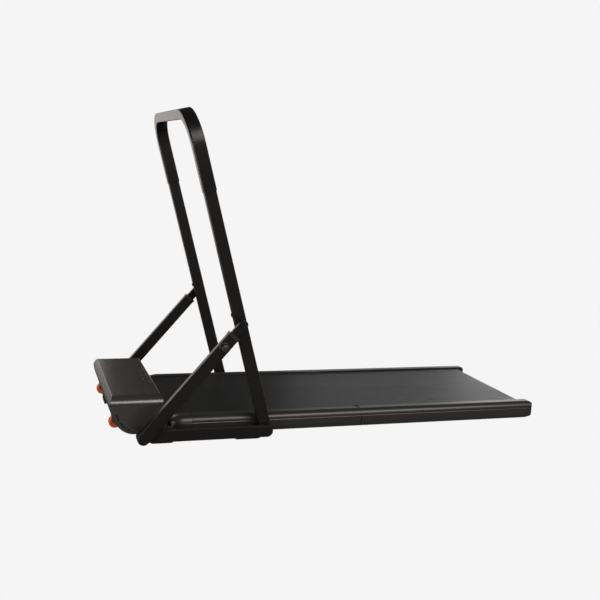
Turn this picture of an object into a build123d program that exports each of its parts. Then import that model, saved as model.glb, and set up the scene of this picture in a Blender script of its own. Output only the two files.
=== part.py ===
from build123d import *
import math
import os

# Folding walking treadmill. Millimetres, +Z up, front (motor hood) towards -X, user's left towards -Y.
# Stations along the machine are measured back from the front of its wheels and turned into X by at().
# The hood reaches ahead of them, to FRONT_TIP.

# ---------------------------------------------------------------- driving dimensions
FRONT_TIP, REAR_TIP = -6.0, 1432.0
LENGTH = REAR_TIP - FRONT_TIP
HALF_WIDTH = 360.0            # lock knob to lock knob is 720
HEIGHT = 983.0

# deck
HINGE_AT = 794.0
HINGE_Z = 65.2
RAIL_IN, RAIL_OUT = 229.0, 271.0
RAIL_TOP, RAIL_BOTTOM = 64.7, 10.0
RAIL_WALL = 3.0
RAIL_START, RAIL_END = 241.0, 1404.0
SEAM_GAP = 0.3
BELT_HALF, BELT_T, BELT_TOP = 220.0, 1.6, 59.8
ROLLER_R = 20.0
ROLLER_HALF = 219.5
ROLLER_Z = BELT_TOP - BELT_T - ROLLER_R
FRONT_ROLLER_AT, REAR_ROLLER_AT = 118.0, 1394.0
BOARD_HALF, BOARD_T = 218.5, 15.0
BOARD_TOP = BELT_TOP - BELT_T - 0.2
BEAM_W, BEAM_H = 40.0, 20.0

# motor hood
HOOD_HALF, HOOD_TOP, HOOD_REAR = 260.0, 129.5, 154.0
HOOD_WALL, HOOD_FILLET = 3.0, 31.5
REAR_EDGE_AT, REAR_EDGE_Z = 147.0, 118.0
SKIRT_Z = 27.0
BELLY_Z = 15.0

# base frame, handle and braces
BAR_IN, BAR_OUT, BAR_BOTTOM, BAR_TOP = 309.0, 324.0, 7.0, 43.0
PIVOT_Z = 25.0
BRACE_PIVOT_AT, HANDLE_PIVOT_AT = 85.0, 463.4
LEAN = 15.59                  # degrees forward of vertical
UPRIGHT_W, UPRIGHT_T, UPRIGHT_OUT = 36.5, 24.6, 308.6
GRIP_W, GRIP_T = 40.0, 30.6
GRIP_START_Z, GRIP_BEND = 745.6, 95.0
BRACE_PIN_Z = 359.9
SLEEVE_IN, SLEEVE_OUT, SLEEVE_W, SLEEVE_LEN = 326.0, 346.0, 36.5, 390.0
INNER_IN, INNER_OUT, INNER_W = 329.5, 342.5, 27.0
KNOB_ALONG = 352.0
HANDLE_FOLD_DEG = 101.0

# transport wheels, drive
WHEEL_R, WHEEL_W, WHEEL_AT, WHEEL_Z, WHEEL_Y = 19.5, 17.0, 19.5, 36.5, 190.0
MOTOR_AT, MOTOR_Z, MOTOR_R = 56.0, 68.0, 34.0
MOTOR_PULLEY_R, ROLLER_PULLEY_R = 11.0, 16.0
PULLEY_Y, PULLEY_W = 238.0, 11.0
MOTOR_SHAFT_R = 5.0
PLATE_IN, PLATE_OUT = 223.0, 229.0
RUN_FIT = 0.05                # radial clearance of a shaft that turns in a hole

SIDES = (("left", -1), ("right", 1))


def at(station):
    """X of a station measured back from the front of the wheels."""
    return station - FRONT_TIP - LENGTH / 2


def save(name, builder):
    """Label one finished piece and write it as its own file."""
    builder.part.label = name
    export_step(builder.part, f"parts/{name}.step")


def slab(x_lo, x_hi, y_lo, y_hi, z_lo, z_hi, mode=Mode.ADD):
    """Block between two corners, with X as stations."""
    with Locations(((at(x_lo) + at(x_hi)) / 2, (y_lo + y_hi) / 2, (z_lo + z_hi) / 2)):
        Box(x_hi - x_lo, abs(y_hi - y_lo), z_hi - z_lo, mode=mode)


def rod_y(station, z, radius, y_lo, y_hi, mode=Mode.ADD):
    """Cylinder along Y."""
    with Locations(Location((at(station), (y_lo + y_hi) / 2, z), (90, 0, 0))):
        Cylinder(radius, abs(y_hi - y_lo), mode=mode)


def rod_x(x_lo, x_hi, y, z, radius, mode=Mode.ADD):
    """Cylinder along X."""
    with Locations(Location(((at(x_lo) + at(x_hi)) / 2, y, z), (0, 90, 0))):
        Cylinder(radius, x_hi - x_lo, mode=mode)


def rod_z(station, y, z_lo, z_hi, radius, mode=Mode.ADD):
    """Cylinder along Z."""
    with Locations((at(station), y, (z_lo + z_hi) / 2)):
        Cylinder(radius, z_hi - z_lo, mode=mode)


# Sketches in side view are drawn in X and Z, and extrude towards -Y from y.
def side_plane(y):
    return Plane(origin=(0, y, 0), x_dir=(1, 0, 0), z_dir=(0, -1, 0))


def swung_plane(y, station, z, angle):
    """Side view with its origin at a pivot and its x axis raised by angle degrees."""
    direction = (math.cos(math.radians(angle)), 0, math.sin(math.radians(angle)))
    return Plane(origin=(at(station), y, z), x_dir=direction, z_dir=(0, -1, 0))


os.makedirs("parts", exist_ok=True)

# ---------------------------------------------------------------- handle geometry
lean = math.radians(LEAN)
handle_pivot = (at(HANDLE_PIVOT_AT), PIVOT_Z)
brace_pivot = (at(BRACE_PIVOT_AT), PIVOT_Z)
pin_rise = BRACE_PIN_Z - PIVOT_Z
pin_radius = pin_rise / math.cos(lean)
brace_pin = (handle_pivot[0] - pin_rise * math.tan(lean), BRACE_PIN_Z)


def reach(point):
    """Length and angle in degrees of the line from the brace pivot to a point."""
    dx, dz = point[0] - brace_pivot[0], point[1] - brace_pivot[1]
    return math.hypot(dx, dz), math.degrees(math.atan2(dz, dx))


BRACE_LEN, BRACE_ANGLE = reach(brace_pin)
folded = math.radians(HANDLE_FOLD_DEG) - lean
folded_pin = (handle_pivot[0] + pin_radius * math.sin(folded), PIVOT_Z + pin_radius * math.cos(folded))
FOLDED_LEN, FOLDED_ANGLE = reach(folded_pin)
print("brace length", round(BRACE_LEN, 2), "angle", round(BRACE_ANGLE, 3))
print("brace slide", round(FOLDED_LEN - BRACE_LEN, 3), "swing", round(BRACE_ANGLE - FOLDED_ANGLE, 4))
print("ratios: swing", round((BRACE_ANGLE - FOLDED_ANGLE) / HANDLE_FOLD_DEG, 6),
      "slide", round((FOLDED_LEN - BRACE_LEN) / 1000 / math.radians(HANDLE_FOLD_DEG), 6))
print("handle pivot", handle_pivot, "brace pivot", brace_pivot, "pin", brace_pin)


# ---------------------------------------------------------------- side rails
def rail_section(side):
    """Rail outline in Y and Z on the current sketch."""
    with BuildLine() as outline:
        Polyline((side * RAIL_IN, RAIL_BOTTOM), (side * RAIL_IN, RAIL_TOP), (side * 250, RAIL_TOP))
        Bezier((side * 250, RAIL_TOP), (side * 264, 63.6), (side * 271, 56), (side * RAIL_OUT, 46))
        Polyline((side * RAIL_OUT, 46), (side * 269.6, 44.8), (side * 270.4, 43.4), (side * 270.4, 25),
                 (side * 268, 13), (side * 265, RAIL_BOTTOM), (side * RAIL_IN, RAIL_BOTTOM))
    make_face(outline.edges())


def rail_core(side):
    """Hollow of the rail, one wall inside its outline."""
    low, high = RAIL_BOTTOM + RAIL_WALL, RAIL_TOP - RAIL_WALL
    inner, outer = RAIL_IN + RAIL_WALL, RAIL_OUT - RAIL_WALL
    with BuildLine() as outline:
        Polyline((side * inner, low), (side * inner, high), (side * 249, high), (side * 259, 60),
                 (side * outer, 52), (side * outer, 45), (side * 267.2, 43), (side * 267.2, 26),
                 (side * 264.9, 15), (side * 262.8, low), (side * inner, low))
    make_face(outline.edges())


def rail(side, x_lo, x_hi):
    """Hollow rail extrusion between two stations."""
    with BuildPart() as piece:
        with BuildSketch(Plane.YZ.offset(at(x_lo))):
            rail_section(side)
        extrude(amount=x_hi - x_lo)
        with BuildSketch(Plane.YZ.offset(at(x_lo))):
            rail_core(side)
        extrude(amount=x_hi - x_lo, mode=Mode.SUBTRACT)
    return piece


for word, side in SIDES:
    save(f"front_rail_{word}", rail(side, RAIL_START, HINGE_AT - SEAM_GAP))
    save(f"rear_rail_{word}", rail(side, HINGE_AT + SEAM_GAP, RAIL_END))

# ---------------------------------------------------------------- rail noses and end caps
NOSE_TIP = 174.0
for word, side in SIDES:
    with BuildPart() as nose:
        with BuildSketch(Plane.YZ.offset(at(NOSE_TIP))):
            rail_section(side)
        extrude(amount=RAIL_START - NOSE_TIP)
        with BuildSketch(side_plane(side * 250 + 60)):
            with BuildLine():
                tip = (at(NOSE_TIP), 50.0)
                Bezier(tip, (at(NOSE_TIP + 4), 62), (at(194), RAIL_TOP), (at(212), RAIL_TOP))
                Polyline((at(212), RAIL_TOP), (at(RAIL_START), RAIL_TOP), (at(RAIL_START), 10),
                         (at(196), 10), (at(183), 24), (at(178), 36), tip)
            make_face()
        extrude(amount=120, mode=Mode.INTERSECT)
        with BuildSketch(Plane.XY):
            with BuildLine():
                inner, outer = side * RAIL_IN, side * (RAIL_OUT + 1)
                Polyline((at(222), outer), (at(RAIL_START), outer), (at(RAIL_START), inner),
                         (at(NOSE_TIP), inner), (at(NOSE_TIP), side * 246))
                Bezier((at(NOSE_TIP), side * 246), (at(NOSE_TIP + 2), side * 262), (at(200), outer), (at(222), outer))
            make_face()
        extrude(amount=100, mode=Mode.INTERSECT)
        # lower block that closes the gap to the hood
        slab(168.3, RAIL_START, side * 231, side * 262, RAIL_BOTTOM, 34)
    save(f"rail_nose_{word}", nose)

    with BuildPart() as end_cap:
        with BuildSketch(Plane.YZ.offset(at(RAIL_END))):
            rail_section(side)
        extrude(amount=REAR_TIP - RAIL_END)
        with BuildSketch(side_plane(side * 250 + 60)):
            with BuildLine():
                Polyline((at(RAIL_END), 10), (at(RAIL_END), RAIL_TOP), (at(1419), RAIL_TOP))
                Bezier((at(1419), RAIL_TOP), (at(1428), RAIL_TOP), (at(REAR_TIP), 60), (at(REAR_TIP), 50))
                Polyline((at(REAR_TIP), 50), (at(REAR_TIP), 27), (at(1424), 16), (at(RAIL_END), 10))
            make_face()
        extrude(amount=120, mode=Mode.INTERSECT)
        with BuildSketch(Plane.XY):
            with BuildLine():
                Polyline((at(1416), side * 272), (at(RAIL_END), side * 272), (at(RAIL_END), side * RAIL_IN),
                         (at(REAR_TIP), side * RAIL_IN), (at(REAR_TIP), side * 258))
                Bezier((at(REAR_TIP), side * 258), (at(REAR_TIP), side * 267), (at(1426), side * 272),
                       (at(1416), side * 272))
            make_face()
        extrude(amount=100, mode=Mode.INTERSECT)
    save(f"rear_end_cap_{word}", end_cap)


# ---------------------------------------------------------------- decks, beams, feet
def deck_board(x_lo, x_hi):
    with BuildPart() as board:
        slab(x_lo, x_hi, -BOARD_HALF, BOARD_HALF, BOARD_TOP - BOARD_T, BOARD_TOP)
    return board


save("front_deck_board", deck_board(150, HINGE_AT - 1))
save("rear_deck_board", deck_board(HINGE_AT + 1, 1366))

BEAM_TOP = BOARD_TOP - BOARD_T
STRAP_LO, STRAP_HI = 11.0, 14.0


def beams(stations, strap_at):
    """Hollow beams between the rails under the board, and one strap below the belt's return run."""
    with BuildPart() as group:
        for station in stations:
            lo, hi = station - BEAM_W / 2, station + BEAM_W / 2
            slab(lo, hi, -RAIL_IN, RAIL_IN, BEAM_TOP - BEAM_H, BEAM_TOP)
            slab(lo + 2, hi - 2, -RAIL_IN, RAIL_IN, BEAM_TOP - BEAM_H + 2, BEAM_TOP - 2, Mode.SUBTRACT)
        slab(strap_at - 25, strap_at + 25, -RAIL_IN, RAIL_IN, STRAP_LO, STRAP_HI)
    return group


FRONT_STRAP_AT, REAR_STRAP_AT, FOOT_Y = 745.0, 1260.0, 150.0
save("front_cross_members", beams((330, 560, 760), FRONT_STRAP_AT))
save("rear_cross_members", beams((828, 1060, 1330), REAR_STRAP_AT))


def foot(station, y):
    rod_z(station, y, 0, STRAP_LO, 15)
    rod_z(station, y, 0, 3, 6, Mode.SUBTRACT)


with BuildPart() as rear_feet:
    for y in (-FOOT_Y, FOOT_Y):
        foot(REAR_STRAP_AT, y)
save("rear_feet", rear_feet)

# ---------------------------------------------------------------- belt halves
BELT_R = ROLLER_R + BELT_T


def belt_half(roller_at, end_at):
    """One half of the endless belt: two flat runs and the half turn round its roller."""
    run_lo, run_hi = sorted((roller_at, end_at))
    with BuildPart() as band:
        with BuildSketch(side_plane(BELT_HALF)):
            for radius, mode in ((BELT_R, Mode.ADD), (ROLLER_R + 0.3, Mode.SUBTRACT)):
                with Locations((at(roller_at), ROLLER_Z)):
                    Circle(radius, mode=mode)
                with Locations(((at(run_lo) + at(run_hi)) / 2, ROLLER_Z)):
                    Rectangle(run_hi - run_lo, 2 * radius, mode=mode)
        extrude(amount=2 * BELT_HALF)
    return band


save("front_belt", belt_half(FRONT_ROLLER_AT, HINGE_AT - 0.1))
save("rear_belt", belt_half(REAR_ROLLER_AT, HINGE_AT + 0.1))

# ---------------------------------------------------------------- rollers
SHAFT_R = 6.0
with BuildPart() as front_roller:
    rod_y(FRONT_ROLLER_AT, ROLLER_Z, ROLLER_R, -ROLLER_HALF, ROLLER_HALF)
    rod_y(FRONT_ROLLER_AT, ROLLER_Z, SHAFT_R, -PLATE_OUT - 1, PULLEY_Y + 8)
save("front_roller", front_roller)

with BuildPart() as roller_pulley:
    rod_y(FRONT_ROLLER_AT, ROLLER_Z, ROLLER_PULLEY_R, PULLEY_Y - PULLEY_W / 2, PULLEY_Y + PULLEY_W / 2)
    rod_y(FRONT_ROLLER_AT, ROLLER_Z, SHAFT_R, PULLEY_Y - 10, PULLEY_Y + 10, Mode.SUBTRACT)
save("roller_pulley", roller_pulley)

BEARING_R = 13.0
with BuildPart() as roller_bearings:
    for side in (-1, 1):
        rod_y(FRONT_ROLLER_AT, ROLLER_Z, BEARING_R, side * PLATE_IN, side * PLATE_OUT)
    rod_y(FRONT_ROLLER_AT, ROLLER_Z, SHAFT_R + RUN_FIT, -240, 240, Mode.SUBTRACT)
save("roller_bearings", roller_bearings)

with BuildPart() as rear_roller:
    rod_y(REAR_ROLLER_AT, ROLLER_Z, ROLLER_R, -ROLLER_HALF, ROLLER_HALF)
    rod_y(REAR_ROLLER_AT, ROLLER_Z, SHAFT_R + RUN_FIT, -240, 240, Mode.SUBTRACT)
save("rear_roller", rear_roller)

with BuildPart() as rear_shaft:
    rod_y(REAR_ROLLER_AT, ROLLER_Z, SHAFT_R, -228, 228)
save("rear_roller_shaft", rear_shaft)

BLOCK_IN, BLOCK_REAR = 222.0, 1412.0
with BuildPart() as tension_blocks:
    for side in (-1, 1):
        slab(1378, BLOCK_REAR, side * BLOCK_IN, side * RAIL_IN, 29, 48)
    rod_y(REAR_ROLLER_AT, ROLLER_Z, SHAFT_R, -240, 240, Mode.SUBTRACT)
    for side in (-1, 1):
        rod_x(1402, 1420, side * 225.5, ROLLER_Z, 2.5, Mode.SUBTRACT)
save("tension_blocks", tension_blocks)

with BuildPart() as tension_bolts:
    for side in (-1, 1):
        rod_x(1402, BLOCK_REAR, side * 225.5, ROLLER_Z, 2.5)
        rod_x(BLOCK_REAR, BLOCK_REAR + 5, side * 225.5, ROLLER_Z, 3.4)
        with BuildSketch(Plane.YZ.offset(at(BLOCK_REAR + 5))):
            with Locations((side * 225.5, ROLLER_Z)):
                RegularPolygon(1.8, 6)
        extrude(amount=-3, mode=Mode.SUBTRACT)
save("tension_bolts", tension_bolts)

# ---------------------------------------------------------------- front chassis plates
with BuildPart() as chassis_plates:
    for side in (-1, 1):
        slab(62, 300, side * PLATE_IN, side * PLATE_OUT, 20, 42)
        slab(62, 140, side * PLATE_IN, side * PLATE_OUT, 20, 58)
        slab(38, 96, side * PLATE_IN, side * PLATE_OUT, 40, 104)
    rod_y(FRONT_ROLLER_AT, ROLLER_Z, BEARING_R, -240, 240, Mode.SUBTRACT)
    rod_y(MOTOR_AT, MOTOR_Z, MOTOR_SHAFT_R + RUN_FIT, 0, 240, Mode.SUBTRACT)
save("chassis_plates", chassis_plates)

# ---------------------------------------------------------------- motor and belt drive
with BuildPart() as motor_housing:
    rod_y(MOTOR_AT, MOTOR_Z, MOTOR_R, 56, 168)
    slab(76, 90, 62, 162, BELLY_Z + 3, 52)
    fins = 26
    for index in range(fins):
        angle = 2 * math.pi * index / fins
        x, z = at(MOTOR_AT) + MOTOR_R * math.cos(angle), MOTOR_Z + MOTOR_R * math.sin(angle)
        with Locations(Location((x, 112, z), (0, -math.degrees(angle), 0))):
            Box(4, 84, 2.5, mode=Mode.SUBTRACT)
    rod_y(MOTOR_AT, MOTOR_Z, MOTOR_SHAFT_R + RUN_FIT, 40, 240, Mode.SUBTRACT)
save("motor_housing", motor_housing)

with BuildPart() as motor_shaft:
    rod_y(MOTOR_AT, MOTOR_Z, MOTOR_SHAFT_R, 52, PULLEY_Y + 8)
save("motor_shaft", motor_shaft)

with BuildPart() as motor_pulley:
    rod_y(MOTOR_AT, MOTOR_Z, MOTOR_PULLEY_R, PULLEY_Y - PULLEY_W / 2, PULLEY_Y + PULLEY_W / 2)
    rod_y(MOTOR_AT, MOTOR_Z, MOTOR_SHAFT_R, PULLEY_Y - 10, PULLEY_Y + 10, Mode.SUBTRACT)
save("motor_pulley", motor_pulley)


def pulley_loop(extra, mode):
    """Outline round both pulleys, extra millimetres outside them."""
    with BuildSketch(side_plane(PULLEY_Y + 5)) as loop:
        with Locations((at(MOTOR_AT), MOTOR_Z)):
            Circle(MOTOR_PULLEY_R + extra)
        with Locations((at(FRONT_ROLLER_AT), ROLLER_Z)):
            Circle(ROLLER_PULLEY_R + extra)
        make_hull()
    extrude(loop.sketch, amount=10, mode=mode)


with BuildPart() as drive_belt:
    pulley_loop(2.3, Mode.ADD)
    pulley_loop(0.3, Mode.SUBTRACT)
save("drive_belt", drive_belt)

# ---------------------------------------------------------------- hood: fascia, cover, tray
STRIP_Z = 107.5
FRONT_TOP_AT = 4.5
bow_outer = [(at(FRONT_TIP), STRIP_Z), (at(0), 60), (at(26), BELLY_Z), (at(70), BELLY_Z)]
bow_skin = [(at(-2.8), STRIP_Z), (at(3), 61), (at(28), BELLY_Z + 3), (at(75), BELLY_Z + 3)]
bow_inner = [(at(FRONT_TOP_AT), HOOD_TOP), (at(18), 72), (at(33), SKIRT_Z), (at(75), SKIRT_Z)]
INLET_LO, INLET_HI, INLET_LEFT, INLET_RIGHT = 41.0, 67.0, -18.0, 48.0


def between(curve_a, curve_b, t, share):
    """Point at t between two cubic curves, a share of the way from the first to the second."""
    weights = ((1 - t) ** 3, 3 * t * (1 - t) ** 2, 3 * t * t * (1 - t), t ** 3)
    points = [[sum(w * p[k] for w, p in zip(weights, curve)) for k in (0, 1)] for curve in (curve_a, curve_b)]
    return [(1 - share) * points[0][k] + share * points[1][k] for k in (0, 1)]


def shoulders(inset):
    """Keep what lies inside the hood's rolled section, inset millimetres within it."""
    with BuildSketch(Plane.YZ.offset(at(-20))) as section:
        with Locations((0, (HOOD_TOP - inset) / 2)):
            Rectangle(2 * (HOOD_HALF - inset), HOOD_TOP - inset)
        fillet(section.vertices().group_by(Axis.Y)[-1], radius=HOOD_FILLET - inset)
    extrude(section.sketch, amount=120, mode=Mode.INTERSECT)


with BuildPart() as cavity:
    with BuildSketch(side_plane(HOOD_HALF - HOOD_WALL)):
        with BuildLine():
            Polyline((at(9.2), HOOD_TOP + 3), bow_skin[0])
            Bezier(*bow_skin)
            Polyline(bow_skin[3], (at(90), BELLY_Z + 3), (at(90), HOOD_TOP + 3), (at(9.2), HOOD_TOP + 3))
        make_face()
    extrude(amount=2 * (HOOD_HALF - HOOD_WALL))
    shoulders(HOOD_WALL)


with BuildPart() as fascia:
    with BuildSketch(side_plane(HOOD_HALF)):
        with BuildLine():
            Polyline((at(FRONT_TOP_AT), HOOD_TOP), bow_outer[0])
            Bezier(*bow_outer)
            Polyline(bow_outer[3], (at(75), BELLY_Z), bow_inner[3])
            Bezier(*bow_inner)
        make_face()
    extrude(amount=2 * HOOD_HALF)
    shoulders(0)
    add(cavity.part, mode=Mode.SUBTRACT)
    # wheel cut-outs and the opening for the inlet
    for side in (-1, 1):
        slab(-12, 60, side * (WHEEL_Y - 13), side * (WHEEL_Y + 13), 10, 65, Mode.SUBTRACT)
    slab(-12, 40, INLET_LEFT, INLET_RIGHT, INLET_LO, INLET_HI, Mode.SUBTRACT)
    # three slots along the bow on each side face
    for t_lo, t_hi in ((0.31, 0.46), (0.52, 0.70), (0.77, 0.86)):
        start, end = (between(bow_outer, bow_inner, t, 0.75) for t in (t_lo, t_hi))
        tilt = math.degrees(math.atan2(end[1] - start[1], end[0] - start[0]))
        middle = [(start[k] + end[k]) / 2 for k in (0, 1)]
        for side in (-1, 1):
            with Locations(Location((middle[0], side * HOOD_HALF, middle[1]), (0, -tilt, 0))):
                Box(math.dist(start, end), 4, 2.2, mode=Mode.SUBTRACT)
save("front_fascia", fascia)

DISPLAY_LO, DISPLAY_HI, DISPLAY_HALF = 108.0, 138.0, 105.0
with BuildPart() as hood_cover:
    with BuildSketch(side_plane(HOOD_HALF)):
        with BuildLine():
            Bezier(*bow_inner)
            Polyline(bow_inner[3], (at(168), SKIRT_Z), (at(168), 46), (at(HOOD_REAR), 63.5),
                     (at(HOOD_REAR), REAR_EDGE_Z), (at(REAR_EDGE_AT), HOOD_TOP), bow_inner[0])
        make_face()
    extrude(amount=2 * HOOD_HALF)
    long_edges = hood_cover.edges().filter_by(Axis.X).group_by(Axis.Z)[-1].sort_by(Axis.Y)
    fillet([long_edges[0], long_edges[-1]], radius=HOOD_FILLET)
    # hollow inside, open below and in front
    with BuildSketch(Plane.YZ.offset(at(-15))):
        with Locations((0, (SKIRT_Z - 5 + HOOD_TOP - HOOD_WALL) / 2)):
            Rectangle(2 * (HOOD_HALF - HOOD_WALL), HOOD_TOP - HOOD_WALL - SKIRT_Z + 5)
        fillet(vertices().group_by(Axis.Y)[-1], radius=HOOD_FILLET - HOOD_WALL)
    extrude(amount=REAR_EDGE_AT - HOOD_WALL + 15, mode=Mode.SUBTRACT)
    inside, roll = HOOD_HALF - HOOD_WALL, HOOD_TOP - HOOD_FILLET
    slab(REAR_EDGE_AT - 5, HOOD_REAR - HOOD_WALL, -inside, inside, 20, roll, Mode.SUBTRACT)
    slab(REAR_EDGE_AT - 5, HOOD_REAR - HOOD_WALL, -228, 228, roll - 5, REAR_EDGE_Z - HOOD_WALL, Mode.SUBTRACT)
    slab(100, 175, -HOOD_HALF + HOOD_WALL, HOOD_HALF - HOOD_WALL, 20, 63.5, Mode.SUBTRACT)
    slab(DISPLAY_LO, DISPLAY_HI, -DISPLAY_HALF, DISPLAY_HALF, HOOD_TOP - 1.6, HOOD_TOP + 1, Mode.SUBTRACT)
    slab(DISPLAY_LO + 4, DISPLAY_HI - 4, -DISPLAY_HALF + 4, DISPLAY_HALF - 4, 110, HOOD_TOP, Mode.SUBTRACT)
save("hood_cover", hood_cover)

with BuildPart() as display_window:
    slab(DISPLAY_LO, DISPLAY_HI, -DISPLAY_HALF, DISPLAY_HALF, HOOD_TOP - 1.6, HOOD_TOP)
save("display_window", display_window)

with BuildPart() as display_board:
    slab(DISPLAY_LO + 1, DISPLAY_HI - 1, -98, 98, HOOD_TOP - HOOD_WALL - 3.6, HOOD_TOP - HOOD_WALL - 2)
    slab(DISPLAY_LO + 5, DISPLAY_HI - 5, -92, 92, HOOD_TOP - HOOD_WALL - 2, HOOD_TOP - 1.6)
save("display_board", display_board)

with BuildPart() as hood_tray:
    slab(75, 94, -HOOD_HALF + HOOD_WALL, HOOD_HALF - HOOD_WALL, BELLY_Z, BELLY_Z + 3)
    for side in (-1, 1):
        slab(75, 168, side * 231, side * HOOD_HALF, BELLY_Z, BELLY_Z + 3)
        slab(75, 168, side * (HOOD_HALF - HOOD_WALL), side * HOOD_HALF, BELLY_Z, SKIRT_Z)
        slab(165, 168, side * 231, side * HOOD_HALF, BELLY_Z, SKIRT_Z)
        # posts that carry the chassis plates
        slab(80, 94, side * 216, side * 231, BELLY_Z, 20)
save("hood_tray", hood_tray)

# ---------------------------------------------------------------- electronics
with BuildPart() as control_board:
    slab(36, 92, -170, -24, 50, 51.6)
    for station in (79, 88):
        for y in (-162, -32):
            rod_z(station, y, BELLY_Z + 3, 50, 3)
    for y in (-44, -66, -88):
        rod_z(52, y, 51.6, 76, 9)
    slab(64, 86, -70, -40, 51.6, 66)
save("control_board", control_board)

with BuildPart() as heat_sink:
    slab(44, 88, -164, -104, 51.6, 56)
    for index in range(8):
        fin = 44 + index * 6
        slab(fin, fin + 2, -164, -104, 56, 84)
save("heat_sink", heat_sink)

INLET_FACE, INLET_BACK = 6.0, 34.0
SOCKET_LO, SOCKET_HI = -13.0, 11.0
SWITCH_LO, SWITCH_HI = 25.0, 43.0
with BuildPart() as power_inlet:
    slab(INLET_FACE, INLET_BACK, INLET_LEFT, INLET_RIGHT, INLET_LO, INLET_HI)
    slab(0, 26, SOCKET_LO, SOCKET_HI, 46, 62, Mode.SUBTRACT)
    slab(0, 26, SWITCH_LO, SWITCH_HI, 44, 64, Mode.SUBTRACT)
    for y, z in ((-8, 52), (6, 52), (-1, 57)):
        slab(14, 26, y - 1, y + 1, z - 2, z + 2)
save("power_inlet", power_inlet)

ROCKER_AT, ROCKER_Z = 17.0, 54.0
with BuildPart() as power_rocker:
    with BuildSketch(side_plane(SWITCH_HI - 1.5)):
        with BuildLine():
            Polyline((at(ROCKER_AT), 47), (at(9), 45.5), (at(10.5), ROCKER_Z), (at(6.6), 60.8),
                     (at(ROCKER_AT), 60), (at(ROCKER_AT), 47))
        make_face()
    extrude(amount=SWITCH_HI - SWITCH_LO - 3)
save("power_rocker", power_rocker)

# ---------------------------------------------------------------- transport wheels
AXLE_R = 4.0
for word, side in SIDES:
    with BuildPart() as wheel:
        rod_y(WHEEL_AT, WHEEL_Z, WHEEL_R, side * (WHEEL_Y - WHEEL_W / 2), side * (WHEEL_Y + WHEEL_W / 2))
        fillet(wheel.edges().filter_by(GeomType.CIRCLE), radius=3.0)
        for end in (-1, 1):
            face = side * WHEEL_Y + end * WHEEL_W / 2
            rod_y(WHEEL_AT, WHEEL_Z, 13, face - end * 3, face + end, Mode.SUBTRACT)
            rod_y(WHEEL_AT, WHEEL_Z, 7, face - end * 3, face)
        rod_y(WHEEL_AT, WHEEL_Z, AXLE_R + RUN_FIT, side * 170, side * 210, Mode.SUBTRACT)
    save(f"wheel_{word}", wheel)

with BuildPart() as wheel_axles:
    for side in (-1, 1):
        rod_y(WHEEL_AT, WHEEL_Z, AXLE_R, side * (WHEEL_Y - 12.5), side * (WHEEL_Y + 12.5))
save("wheel_axles", wheel_axles)

with BuildPart() as wheel_brackets:
    for side in (-1, 1):
        with BuildSketch(side_plane(side * WHEEL_Y + 12.5)):
            with BuildLine():
                Polyline((at(46), 64), (at(13), 64), (at(8), 58), (at(11), 36), (at(19.5), 28),
                         (at(30), 28), (at(46), 22), (at(46), 64))
            make_face()
        extrude(amount=25)
    for side in (-1, 1):
        slab(-10, 42, side * (WHEEL_Y - 10), side * (WHEEL_Y + 10), 10, 58.5, Mode.SUBTRACT)
        rod_y(WHEEL_AT, WHEEL_Z, AXLE_R, side * 170, side * 210, Mode.SUBTRACT)
save("wheel_brackets", wheel_brackets)

# ---------------------------------------------------------------- deck hinges
KNUCKLE_R, PIN_R = 2.4, 1.2
EAR_SPLIT = 225.5


def hinge_leaves(direction, ear_lo, ear_hi, hole_r):
    """Pair of hinge leaves: a block on the rail's inner face and an ear up to the pin."""
    with BuildPart() as leaves:
        for side in (-1, 1):
            near, far = sorted((HINGE_AT + direction * 6, HINGE_AT + direction * 60))
            slab(near, far, side * 222, side * RAIL_IN, 44, 56)
            with BuildSketch(side_plane(max(side * ear_lo, side * ear_hi))):
                with BuildLine():
                    back = at(HINGE_AT + direction * 40)
                    lip = at(HINGE_AT)
                    Polyline((back, 50), (back, 56), (lip, HINGE_Z + KNUCKLE_R),
                             (lip, HINGE_Z - KNUCKLE_R), (at(HINGE_AT + direction * 6), 50), (back, 50))
                make_face()
                with Locations((lip, HINGE_Z)):
                    Circle(KNUCKLE_R)
            extrude(amount=ear_hi - ear_lo)
        rod_y(HINGE_AT, HINGE_Z, hole_r, -240, 240, Mode.SUBTRACT)
    return leaves


save("front_hinge_leaves", hinge_leaves(-1, 222, EAR_SPLIT - 0.2, PIN_R))
save("rear_hinge_leaves", hinge_leaves(1, EAR_SPLIT + 0.2, RAIL_IN - 0.1, PIN_R + RUN_FIT))
with BuildPart() as hinge_pins:
    for side in (-1, 1):
        rod_y(HINGE_AT, HINGE_Z, PIN_R, side * 222, side * 228.6)
save("hinge_pins", hinge_pins)

# ---------------------------------------------------------------- base frame
BOLT_R = 5.0
CROSS_BARS = ((112.0, 174.0), (368.0, 440.0))
CROSS_Z = 4.0
for word, side in SIDES:
    with BuildPart() as base_bar:
        with BuildSketch(side_plane(max(side * BAR_IN, side * BAR_OUT))):
            length = HANDLE_PIVOT_AT - BRACE_PIVOT_AT
            with Locations(((at(HANDLE_PIVOT_AT) + at(BRACE_PIVOT_AT)) / 2, PIVOT_Z)):
                SlotCenterToCenter(length, BAR_TOP - BAR_BOTTOM)
        extrude(amount=BAR_OUT - BAR_IN)
        outline = base_bar.faces().filter_by(Axis.Y).sort_by(Axis.Y)[0 if side < 0 else -1].edges()
        chamfer(outline, length=1.2)
        for station in (BRACE_PIVOT_AT, HANDLE_PIVOT_AT):
            rod_y(station, PIVOT_Z, BOLT_R, side * 300, side * 330, Mode.SUBTRACT)
    save(f"base_bar_{word}", base_bar)

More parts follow.
